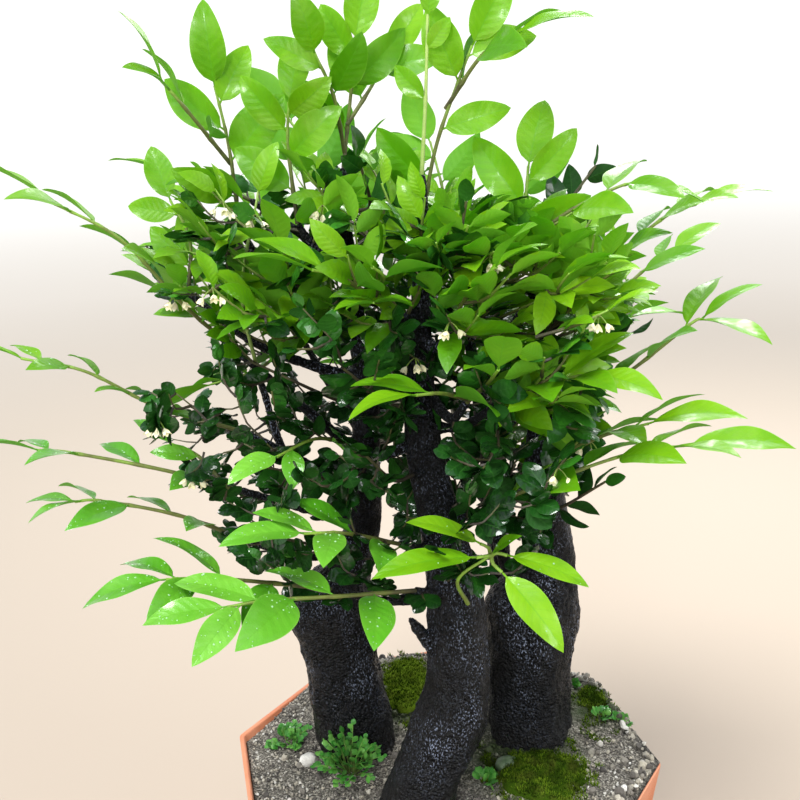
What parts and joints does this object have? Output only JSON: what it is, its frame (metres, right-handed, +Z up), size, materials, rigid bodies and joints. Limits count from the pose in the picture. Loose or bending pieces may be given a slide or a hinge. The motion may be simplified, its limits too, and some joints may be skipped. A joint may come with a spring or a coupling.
{
  "type": "red sandalwood bonsai in an octagonal pot",
  "caption": "Bonsai with thick black-barked trunks, a dense crown of pointed green leaves on arching shoots, moss and weeds on grit, in a plain octagonal clay pot.",
  "frame": {"origin": "middle of the pot's underside, on the surface that the pot stands on", "axes": "+Z up along the trunks, +X to the right and +Y away from the viewer of the picture"},
  "size_m": [0.4195, 0.2979, 0.5893],
  "materials": {
    "clay": "unglazed, satin terracotta",
    "grit": "loose coarse grit",
    "bark": "wet, granular black bark",
    "young_leaf": "fresh, glossy leaf",
    "old_leaf": "dark, glossy leaf",
    "moss": "short dense moss",
    "seedling": "soft thin leaf",
    "stone": "worn pebble"
  },
  "bodies": {
    "root": {"grit": "grit", "moss_back": "moss", "moss_right_back": "moss", "moss_right_front": "moss", "pebble_green": "stone", "pebble_pale": "stone", "pot": "clay", "spray_back_crown": "young_leaf", "spray_back_left": "young_leaf", "spray_back_low": "young_leaf", "spray_back_right": "young_leaf", "spray_back_side": "young_leaf", "spray_back_top": "young_leaf", "spray_far_top_left": "young_leaf", "spray_front_left": "young_leaf", "spray_front_left_high": "young_leaf", "spray_front_left_low": "young_leaf", "spray_front_middle": "young_leaf", "spray_inner_top_left": "young_leaf", "spray_left_crown": "young_leaf", "spray_left_foot": "young_leaf", "spray_left_high": "young_leaf", "spray_left_low": "young_leaf", "spray_left_middle": "young_leaf", "spray_left_top": "young_leaf", "spray_middle_left": "young_leaf", "spray_middle_low": "young_leaf", "spray_middle_right": "young_leaf", "spray_right_crown": "young_leaf", "spray_right_front": "young_leaf", "spray_right_high": "young_leaf", "spray_right_long": "young_leaf", "spray_right_middle": "young_leaf", "spray_top_left": "young_leaf", "spray_top_middle": "young_leaf", "spray_top_right": "young_leaf", "sprouts_front": "young_leaf", "stem_back": "bark", "stem_pale_left": "young_leaf", "stem_pale_middle": "young_leaf", "trunk_left": "bark", "trunk_middle": "bark", "trunk_right": "bark", "twigs_back_left": "old_leaf", "twigs_back_right": "old_leaf", "twigs_left_crown": "old_leaf", "twigs_left_foot": "old_leaf", "twigs_left_high": "old_leaf", "twigs_left_low": "old_leaf", "twigs_left_middle": "old_leaf", "twigs_middle": "old_leaf", "twigs_middle_high": "old_leaf", "twigs_middle_low": "old_leaf", "twigs_right_front": "old_leaf", "twigs_right_high": "old_leaf", "twigs_right_low": "old_leaf", "twigs_right_middle": "old_leaf", "weed_front": "seedling", "weed_left": "seedling"}
  },
  "joints": []
}
